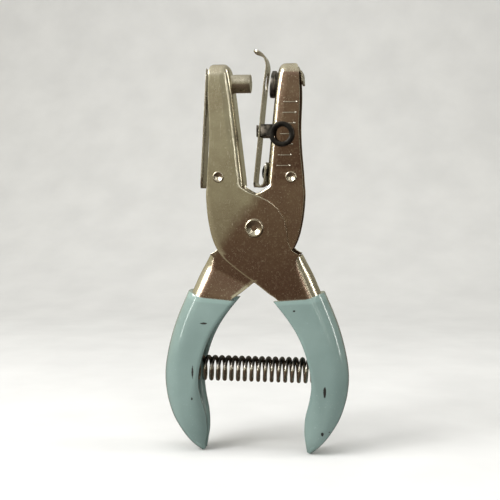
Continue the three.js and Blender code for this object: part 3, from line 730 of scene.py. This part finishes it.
def make_grip(name, side):
    """A dipped coat from its cuff to its tip, hollow where the handle's channel is open."""
    steps = [5] * 5 + [6] * 5
    rows = catmull([(iu, -iv, ou, -ov, lost, lip) for iu, iv, ou, ov, lost, lip in GRIP_ROWS], steps)
    table = []
    for row in rows:
        width, half = row_width(row), GRIP_HALF - max(row[4], 0)
        fold = min(GRIP_FOLD, half * 0.85, width * 0.55)
        wall = min(GRIP_WALL, half * 0.5, width * 0.3)
        lip = max(row[5], 0.0)
        front = grip_loop(width, half, fold, lip, wall)
        back = [(a, -y) for a, y in reversed(front)]
        loop = front + [(width - wall, 0)] + back
        points = placed(loop + [front[0]], row, side)
        fade = max(0.0, 1 - len(table) / CUFF_ROWS)
        for (a, _), point in zip(loop + [front[0]], points):
            wave = CUFF_WAVE * ease((a - width + fold) / fold) - CUFF_SLANT * (a / width)
            point.z += MM * fade * wave
        table.append(points)
    obj = formed(name, table)
    close_ends(obj)
    bevel(obj, 0.3, 3, 70)
    smooth(obj, 50)
    return obj


def make_spring():
    """Round wire wound along X between the handles."""
    low, high = local_box("handle_spring")
    wire, pitch, outer = 1.42, 2.42, (high.z - low.z) / 2
    length = high.x - low.x - wire
    turns = round((high.x - low.x) / pitch)
    radius = outer - wire / 2
    deselect()
    bpy.ops.mesh.primitive_circle_add(vertices=14, radius=wire / 2 * MM, fill_type="NOTHING")
    obj = bpy.context.object
    obj.name = obj.data.name = "handle_spring_coil"
    obj.data.transform(Matrix.Translation((radius * MM, 0, 0)) @ Matrix.Rotation(math.pi / 2, 4, "X"))
    steps = 36 * turns
    apply_modifier(obj, "SCREW", angle=-2 * math.pi * turns, screw_offset=length * MM, steps=steps,
                   render_steps=steps, axis="Z", iterations=1)
    close_ends(obj)
    centre = (low + high) / 2
    obj.data.transform(axis_frame(at(low.x + wire / 2, 0, centre.z), (1, 0, 0)))
    smooth(obj, 60)
    return obj


# ---------------------------------------------------------------- materials

class Nodes:
    """Short names for building one material's nodes."""

    def __init__(self, material, **shader):
        self.material = material
        self.material.use_nodes = True
        self.tree = self.material.node_tree
        self.shader = self.tree.nodes["Principled BSDF"]
        for key, value in shader.items():
            self.shader.inputs[key.replace("_", " ")].default_value = value
        self.object = self.tree.nodes.new("ShaderNodeTexCoord").outputs["Object"]

    def node(self, kind, **values):
        made = self.tree.nodes.new("ShaderNode" + kind)
        for key, value in values.items():
            setattr(made, key, value)
        return made

    def link(self, output, target):
        self.tree.links.new(output, target)
        return output

    def mapping(self, scale, location=(0, 0, 0), rotation=(0, 0, 0)):
        node = self.node("Mapping")
        node.inputs["Scale"].default_value = scale
        node.inputs["Location"].default_value = location
        node.inputs["Rotation"].default_value = rotation
        self.link(self.object, node.inputs["Vector"])
        return node.outputs["Vector"]

    def separate(self, vector):
        node = self.node("SeparateXYZ")
        self.link(vector, node.inputs[0])
        return node.outputs

    def noise(self, scale, detail=3.0, roughness=0.5, vector=None):
        node = self.node("TexNoise")
        node.inputs["Scale"].default_value = scale
        node.inputs["Detail"].default_value = detail
        node.inputs["Roughness"].default_value = roughness
        self.link(vector or self.object, node.inputs["Vector"])
        return node.outputs["Fac"]

    def ramp(self, value, low, high, a=0.0, b=1.0):
        """From a at low to b at high, and flat beyond them."""
        node = self.node("MapRange", clamp=True)
        node.inputs["From Min"].default_value = low
        node.inputs["From Max"].default_value = high
        node.inputs["To Min"].default_value = a
        node.inputs["To Max"].default_value = b
        self.link(value, node.inputs["Value"])
        return node.outputs["Result"]

    def math(self, operation, a, b=0.0):
        node = self.node("Math", operation=operation)
        for value, socket in ((a, node.inputs[0]), (b, node.inputs[1])):
            if isinstance(value, (int, float)):
                socket.default_value = value
            else:
                self.link(value, socket)
        return node.outputs[0]

    def mix(self, factor, a, b):
        node = self.node("Mix", data_type="RGBA")
        self.link(factor, node.inputs["Factor"])
        for value, socket in ((a, node.inputs["A"]), (b, node.inputs["B"])):
            if isinstance(value, tuple):
                socket.default_value = (*value, 1.0)
            else:
                self.link(value, socket)
        return node.outputs["Result"]

    def edges(self, low, high):
        """0 on flats and 1 on convex edges. With high below low, it is 1 in hollows instead."""
        return self.ramp(self.node("NewGeometry").outputs["Pointiness"], low, high)

    def bump(self, height, strength, distance, normal=None):
        node = self.node("Bump")
        node.inputs["Strength"].default_value = strength
        node.inputs["Distance"].default_value = distance
        self.link(height, node.inputs["Height"])
        if normal is not None:
            self.link(normal, node.inputs["Normal"])
        return node.outputs["Normal"]

    def finish(self, color=None, roughness=None, normal=None):
        for value, name in ((color, "Base Color"), (roughness, "Roughness"), (normal, "Normal")):
            if value is not None:
                self.link(value, self.shader.inputs[name])
        return self.material


def new_material(name, **shader):
    return Nodes(bpy.data.materials.new(name), **shader)


# Painted reflection: the brown on the flat plates stands in for a dark table below that the plates reflect.
BROWN_SLANT = 0.8       # sideways run of the brown's border for each mm of height
BROWN_BORDER = -6.5     # where the border crosses the pivot's height, in mm to the right of it
BROWN_TOP = 14          # above this height over the pivot the border runs straight up
BROWN_CLOUDS = 5        # how far the clouds move the border


def painted_reflection_brown(n, color, cloud):
    """Painted reflection: brown below a slanting, cloudy border across the pivot and on the tool's right
    side, standing in for a dark table reflected in the plates. It stays on the flats, so that the folds keep
    their own highlights."""
    place = n.separate(n.object)
    height = n.math("MINIMUM", place["Z"], PIVOT.z + BROWN_TOP * MM)
    slant = n.math("SUBTRACT", place["X"], n.math("MULTIPLY", height, BROWN_SLANT))
    ragged = n.math("ADD", slant, n.math("MULTIPLY", cloud, BROWN_CLOUDS * MM))
    border = BROWN_BORDER * MM - BROWN_SLANT * PIVOT.z
    brown = n.mix(n.ramp(cloud, 0.35, 0.65), (0.42, 0.30, 0.235), (0.31, 0.20, 0.155))
    facing = n.separate(n.node("NewGeometry").outputs["Normal"])
    flat = n.ramp(n.math("ABSOLUTE", facing["Y"]), 0.90, 0.975)
    covered = n.math("MULTIPLY", n.ramp(ragged, border - 2 * MM, border + 4 * MM), flat)
    return n.mix(covered, color, brown)


def brighter(color, factor):
    return tuple(min(1.0, c * factor) for c in color)


def steel(name, bright, tarnish, rough_low, rough_high, grain=1700.0, scratch=0.5, brown=False,
          metallic=1.0):
    """Plated or bare steel: cloudy tarnish, a fine speckled grain, hairline scratches, bright edges.
    grain is the scale of the speckle, and scratch is the scratches' depth."""
    n = new_material(name, Metallic=metallic)
    cloud = n.noise(95.0, 5.0, 0.62)
    speck = n.noise(grain, 2.0, 0.6)
    fine = n.noise(grain * 2.3, 2.0, 0.5)
    tint = n.mix(n.ramp(cloud, 0.36, 0.66), bright, tarnish)
    # Painted reflection: brown on the flats, standing in for the dark table below.
    if brown:
        tint = painted_reflection_brown(n, tint, cloud)
    speckled = n.mix(n.ramp(speck, 0.56, 0.74, 0.0, 0.4), tint, brighter(bright, 1.2))
    worn = n.mix(n.edges(0.53, 0.60), speckled, brighter(bright, 1.15))
    lines = []
    for turn, stretch in ((0.25, 30.0), (1.25, 22.0), (-0.6, 26.0)):
        vector = n.mapping((stretch, 1.0, 1.0), rotation=(0, turn, 0))
        lines.append(n.ramp(n.noise(90.0, 4.0, 0.7, vector), 0.665, 0.70))
    scratches = n.math("MAXIMUM", n.math("MAXIMUM", lines[0], lines[1]), lines[2])
    rough = n.ramp(n.math("ADD", n.math("MULTIPLY", cloud, 0.6), n.math("MULTIPLY", speck, 0.4)),
                   0.35, 0.65, rough_low, rough_high)
    rough = n.math("ADD", rough, n.math("MULTIPLY", scratches, 0.12))
    relief = n.math("SUBTRACT", n.math("ADD", speck, n.math("MULTIPLY", fine, 0.5)),
                    n.math("MULTIPLY", scratches, scratch))
    return n.finish(worn, rough, n.bump(relief, 0.22, 0.00005))


def wire_with_painted_shade():
    """Spring wire with painted shade, near black, along the top of the coil."""
    wire = steel("spring_wire", (0.66, 0.63, 0.57), (0.36, 0.32, 0.27), 0.12, 0.26, 2400.0, 0.6)
    n = Nodes(wire)
    low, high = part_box("handle_spring")
    middle, radius = (low.z + high.z) / 2, (high.z - low.z) / 2
    # Painted shade: the top of the coil is darkened nearly to black.
    ragged = n.math("ADD", n.separate(n.object)["Z"], n.math("MULTIPLY", n.noise(900.0), 1.2 * MM))
    painted_shade = n.ramp(ragged, middle + radius * 0.30, middle + radius * 0.62)
    unshaded = n.shader.inputs["Base Color"].links[0].from_socket
    return n.finish(n.mix(n.math("MULTIPLY", painted_shade, 0.93), unshaded, (0.03, 0.027, 0.025)))


def oxide_and_painted_dark(name, color, sheen, rough_low, rough_high):
    """Blackened steel, worn to metal on its edges. On the die and the stripper's rivet the black is a painted
    dark reflection.
    """
    n = new_material(name, Metallic=0.85)
    cloud = n.noise(420.0, 4.0, 0.6)
    grain = n.noise(2600.0, 2.0, 0.5)
    base = n.mix(n.ramp(cloud, 0.35, 0.7), color, sheen)
    worn = n.mix(n.math("MULTIPLY", n.edges(0.53, 0.6), n.ramp(cloud, 0.4, 0.6)), base, (0.25, 0.22, 0.19))
    rough = n.ramp(cloud, 0.3, 0.7, rough_low, rough_high)
    return n.finish(worn, rough, n.bump(grain, 0.25, 0.00004))


# Chips in the front of a grip: x and z of the middle, half width and half height.
CHIPS = {
    "left_grip": [(-17.6, -33.2, 1.3, 0.35), (-21.6, -50.5, 0.35, 2.4), (-21.9, -60.0, 0.3, 0.6)],
    "right_grip": [(24.6, -56.2, 0.55, 1.9), (14.0, -28.3, 0.5, 0.35), (23.8, -71.2, 0.5, 0.9),
                   (26.2, -70.6, 0.35, 0.3)],
}
CHIP_DEPTH = 4


def grip_coat(name, chips):
    """Glossy dipped vinyl: a slow sag in the surface, faint mottling, dust, painted shade in the hollow, and
    a few chips down to black."""
    n = new_material(name, Specular_IOR_Level=0.5, Coat_Weight=0.6, Coat_Roughness=0.05)
    slow = n.noise(55.0, 3.0, 0.5)
    fine = n.noise(900.0, 3.0, 0.6)
    base = n.mix(n.ramp(slow, 0.3, 0.7), (0.165, 0.235, 0.228), (0.210, 0.290, 0.280))
    dust = n.ramp(n.noise(2400.0, 1.0, 0.5), 0.70, 0.76)
    dusty = n.mix(n.math("MULTIPLY", dust, 0.35), base, (0.42, 0.50, 0.48))
    worn = n.mix(n.math("MULTIPLY", n.edges(0.52, 0.58), 0.35), dusty, (0.30, 0.42, 0.40))
    mask = None
    for x, z, half_width, half_height in chips:
        scale = tuple(1 / (half * MM) for half in (half_width, CHIP_DEPTH, half_height))
        location = tuple(-m * s for m, s in zip(at(x, -GRIP_HALF, z), scale))
        length = n.node("VectorMath", operation="LENGTH")
        n.link(n.mapping(scale, location), length.inputs[0])
        ragged = n.math("ADD", length.outputs["Value"], n.math("MULTIPLY", n.noise(1500.0, 3.0, 0.7), 1.1))
        spot = n.ramp(ragged, 1.55, 1.4)
        mask = spot if mask is None else n.math("MAXIMUM", mask, spot)
    # Painted shade: the inside faces of the channel, in its hollows, are darkened to stand for the shade
    # there.
    inside = n.ramp(n.math("ABSOLUTE", n.separate(n.object)["Y"]), 5.0 * MM, 4.2 * MM)
    hollow = n.edges(0.5, 0.49)
    painted_shade_inside = n.mix(n.math("MULTIPLY", n.math("MULTIPLY", inside, hollow), 0.6), worn, (0.05, 0.075, 0.07))
    color = n.mix(mask, painted_shade_inside, (0.012, 0.012, 0.012))
    rough = n.math("ADD", n.ramp(fine, 0.3, 0.7, 0.12, 0.2), n.math("MULTIPLY", mask, 0.35))
    sag = n.bump(slow, 0.35, 0.0006)
    pitted = n.bump(n.math("SUBTRACT", n.math("MULTIPLY", fine, 0.25), mask), 0.3, 0.00012, sag)
    return n.finish(color, rough, pitted)


def make_materials():
    return {
        # The nickel's brown is a painted reflection of a dark table below.
        "nickel": steel("worn_nickel_and_painted_reflection", (0.80, 0.76, 0.62), (0.62, 0.56, 0.43), 0.17, 0.29, brown=True),
        # Painted highlight: a pale, nearly unmetallic cream that makes the cut edges read as bright lines, on
        # top of their bare wear.
        "bare_edge_painted_highlight": steel("bare_edge_painted_highlight", (0.98, 0.94, 0.82), (0.86, 0.80, 0.66), 0.22, 0.38, 2600.0, 0.4,
                           metallic=0.15),
        "strip": steel("spring_strip", (0.62, 0.59, 0.53), (0.42, 0.38, 0.32), 0.16, 0.30, 2200.0, 0.7),
        "pin": steel("ground_pin", (0.66, 0.62, 0.52), (0.54, 0.49, 0.40), 0.24, 0.36, 2600.0, 0.3),
        "rivet": steel("rivet_steel", (0.66, 0.61, 0.50), (0.46, 0.40, 0.32), 0.16, 0.28, 2000.0, 0.4),
        "wire": wire_with_painted_shade(),
        # Painted dark reflection: the die and the stripper's rivet are made near black to stand for the dark
        # that they reflect.
        "die": oxide_and_painted_dark("dark_die_painted_reflection", (0.045, 0.042, 0.04), (0.12, 0.11, 0.10), 0.25, 0.4),
        "gauge": oxide_and_painted_dark("black_gauge", (0.012, 0.011, 0.010), (0.035, 0.032, 0.028), 0.32, 0.5),
        "left_grip": grip_coat("grip_coat_left", CHIPS["left_grip"]),
        "right_grip": grip_coat("grip_coat_right", CHIPS["right_grip"]),
    }


def dress(obj, *choices):
    obj.data.materials.clear()
    for material in choices:
        obj.data.materials.append(material)


# ---------------------------------------------------------------- the object

def stands_for(piece, node, body):
    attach(piece, body)
    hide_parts(node)


materials = make_materials()
# Maker, CAD node, body, material and the record's slot. A lever is dressed as it is made.
PIECES = [
    (make_punch_lever, "punch_lever", PUNCH_BODY, None, "nickel_plate"),
    (make_die_lever, "die_lever", DIE_BODY, None, "nickel_plate"),
    (make_backing_leaf, "backing_leaf", PUNCH_BODY, "strip", "nickel_plate"),
    (make_backing_tab, "backing_tab", DIE_BODY, "strip", "nickel_plate"),
    (make_punch_pin, "punch_pin", PUNCH_BODY, "pin", "tool_steel"),
    # The near-black die material on the die and the stripper's rivet is a painted dark reflection.
    (make_die_bushing, "die_bushing", DIE_BODY, "die", "tool_steel"),
    (make_stripper, "stripper", DIE_BODY, "strip", "spring_steel"),
    (make_stripper_rivet, "stripper_rivet", DIE_BODY, "die", "nickel_plate"),
    (make_pivot_rivet, "pivot_rivet", DIE_BODY, "rivet", "rivet_steel"),
    (make_paper_gauge, "paper_gauge", GAUGE_BODY, "gauge", "black_oxide"),
]
for make, node, body, material, slot in PIECES:
    piece = make()
    if material:
        dress(piece, materials[material])
    stands_for(piece, node, body)

for node, body in (("punch_jaw_rivet", PUNCH_BODY), ("die_jaw_rivet", DIE_BODY)):
    piece = make_jaw_rivet(node + "_headed", node)
    dress(piece, materials["rivet"])
    stands_for(piece, node, body)

lines = make_gauge_lines()
dress(lines, materials["strip"])
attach(lines, DIE_BODY)

for node, side, body in (("left_grip", -1, DIE_BODY), ("right_grip", 1, PUNCH_BODY)):
    grip = make_grip(node + "_dipped", side)
    dress(grip, materials[node])
    stands_for(grip, node, body)

spring = make_spring()
dress(spring, materials["wire"])
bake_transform(spring)
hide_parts("handle_spring")

for node in ("pivot_spacer", "left_spring_stud", "right_spring_stud"):
    dress(frame["nodes"][node], materials["rivet"])


# ---------------------------------------------------------------- stage, light, camera

def make_stage():
    """A floor that sweeps up into a backdrop behind the tool. The tool's metal doesn't reflect it."""
    width, front, back, sweep, height = 2.4, -0.9, 0.30, 0.35, 1.4
    sweep_steps = 16
    profile = [(front, 0.0), (0.0, 0.0), (back, 0.0)]
    for k in range(1, sweep_steps + 1):
        turn = math.pi / 2 * k / sweep_steps
        profile.append((back + sweep * math.sin(turn), sweep * (1 - math.cos(turn))))
    profile.append((back + sweep, height))
    table = [[Vector((x, y, z)) for y, z in profile] for x in (-width / 2, 0, width / 2)]
    floor = formed("studio_sweep", table)
    smooth(floor, 60)
    n = new_material("pale_paper", Roughness=0.75)
    mottled = n.mix(n.ramp(n.noise(30.0, 4.0), 0.3, 0.7), (0.70, 0.71, 0.73), (0.76, 0.77, 0.79))
    dress(floor, n.finish(mottled))
    floor.visible_glossy = False


# Name, place, target, size, watts, colour, and whether glossy surfaces show it.
LIGHTS = [
    ("window_left", (-0.42, -0.30, 0.42), (0, 0, 0.07), (0.40, 0.40), 3.4, (1.0, 0.98, 0.94), True),
    ("top_soft", (0.05, -0.12, 0.60), (0, 0, 0.07), (0.5, 0.3), 1.3, (1.0, 1.0, 1.0), False),
    ("strip_left", (-0.34, -0.27, 0.27), (0, 0, 0.10), (0.025, 0.50), 0.55, (1.0, 1.0, 0.96), True),
    ("strip_right", (0.20, -0.42, 0.28), (0, 0, 0.10), (0.012, 0.5), 0.15, (1.0, 0.98, 0.92), True),
    ("strip_far_right", (0.30, -0.38, 0.28), (0, 0, 0.10), (0.012, 0.5), 0.12, (1.0, 0.98, 0.92), True),
    ("strip_side", (0.40, 0.0, 0.28), (0, 0, 0.10), (0.05, 0.5), 0.7, (1.0, 0.98, 0.92), True),
]


def make_area(name, location, target, size, power, color, glossy):
    data = bpy.data.lights.new(name, "AREA")
    data.shape = "RECTANGLE"
    data.size, data.size_y = size
    data.energy = power
    data.color = color
    obj = bpy.data.objects.new(name, data)
    obj.matrix_world = axis_frame(Vector(location), Vector(location) - Vector(target))
    obj.visible_glossy = glossy
    bpy.context.scene.collection.objects.link(obj)


ROOM_STRENGTH = 0.9
# Colours from straight down to straight up, and their factors from the room's left to its right.
ROOM_HEIGHTS = [
    (0.0, (0.10, 0.075, 0.055)), (0.38, (0.14, 0.10, 0.07)), (0.445, (0.12, 0.075, 0.05)),
    (0.485, (0.30, 0.27, 0.18)), (0.56, (0.40, 0.38, 0.28)), (0.75, (0.50, 0.48, 0.41)),
    (1.0, (0.72, 0.70, 0.62)),
]
ROOM_SIDES = [(0.0, (1.5, 1.5, 1.5)), (0.35, (1.15, 1.15, 1.15)), (0.6, (0.8, 0.8, 0.8)),
              (1.0, (0.35, 0.34, 0.33))]


def make_world():
    """A soft room: bright above and to the left, olive at eye level, dark warm wood below."""
    world = bpy.data.worlds.new("soft_room")
    world.use_nodes = True
    bpy.context.scene.world = world
    tree = world.node_tree
    coord = tree.nodes.new("ShaderNodeTexCoord")
    split = tree.nodes.new("ShaderNodeSeparateXYZ")
    tree.links.new(coord.outputs["Generated"], split.inputs[0])

    def ramp(axis, stops):
        """Colours along one axis of the direction, from -1 at the first stop to 1 at the last."""
        lift = tree.nodes.new("ShaderNodeMapRange")
        lift.inputs["From Min"].default_value = -1.0
        tree.links.new(split.outputs[axis], lift.inputs["Value"])
        node = tree.nodes.new("ShaderNodeValToRGB")
        tree.links.new(lift.outputs["Result"], node.inputs["Fac"])
        elements = node.color_ramp.elements
        for element, (position, color) in zip(elements, (stops[0], stops[-1])):
            element.position, element.color = position, (*color, 1)
        for position, color in stops[1:-1]:
            elements.new(position).color = (*color, 1)
        return node.outputs["Color"]

    height = ramp("Z", ROOM_HEIGHTS)
    across = ramp("X", ROOM_SIDES)
    product = tree.nodes.new("ShaderNodeMix")
    product.data_type, product.blend_type = "RGBA", "MULTIPLY"
    product.inputs["Factor"].default_value = 1.0
    tree.links.new(height, product.inputs["A"])
    tree.links.new(across, product.inputs["B"])
    background = tree.nodes["Background"]
    tree.links.new(product.outputs["Result"], background.inputs["Color"])
    background.inputs["Strength"].default_value = ROOM_STRENGTH


CAMERA_YAW, CAMERA_PITCH = math.radians(8), math.radians(4)
CAMERA_DISTANCE = 0.300
CAMERA_SHOWS = 0.1714       # metres of the tool's plane from side to side
AIM_LEFT, AIM_DOWN = 1.3, 7.4


def make_camera():
    """Looks at a point just below the pivot rivet, from a little to the right and above."""
    yaw, pitch, distance = CAMERA_YAW, CAMERA_PITCH, CAMERA_DISTANCE
    view = Vector((math.sin(yaw) * math.cos(pitch), -math.cos(yaw) * math.cos(pitch), math.sin(pitch)))
    placing = axis_frame(Vector(), view)
    right, up = placing.to_3x3().col[0], placing.to_3x3().col[1]
    rivet = at(0, -LEVER_HALF - 1, 0)
    aim = rivet - right * AIM_LEFT * MM - up * AIM_DOWN * MM
    data = bpy.data.cameras.new("main_camera")
    data.angle = 2 * math.atan(CAMERA_SHOWS / 2 / distance)
    data.clip_start = 0.01
    camera = bpy.data.objects.new("main_camera", data)
    camera.matrix_world = Matrix.Translation(aim + view * distance) @ placing
    bpy.context.scene.collection.objects.link(camera)
    bpy.context.scene.camera = camera


make_stage()
make_world()
for light in LIGHTS:
    make_area(*light)
make_camera()
bpy.context.scene.view_settings.view_transform = "Standard"
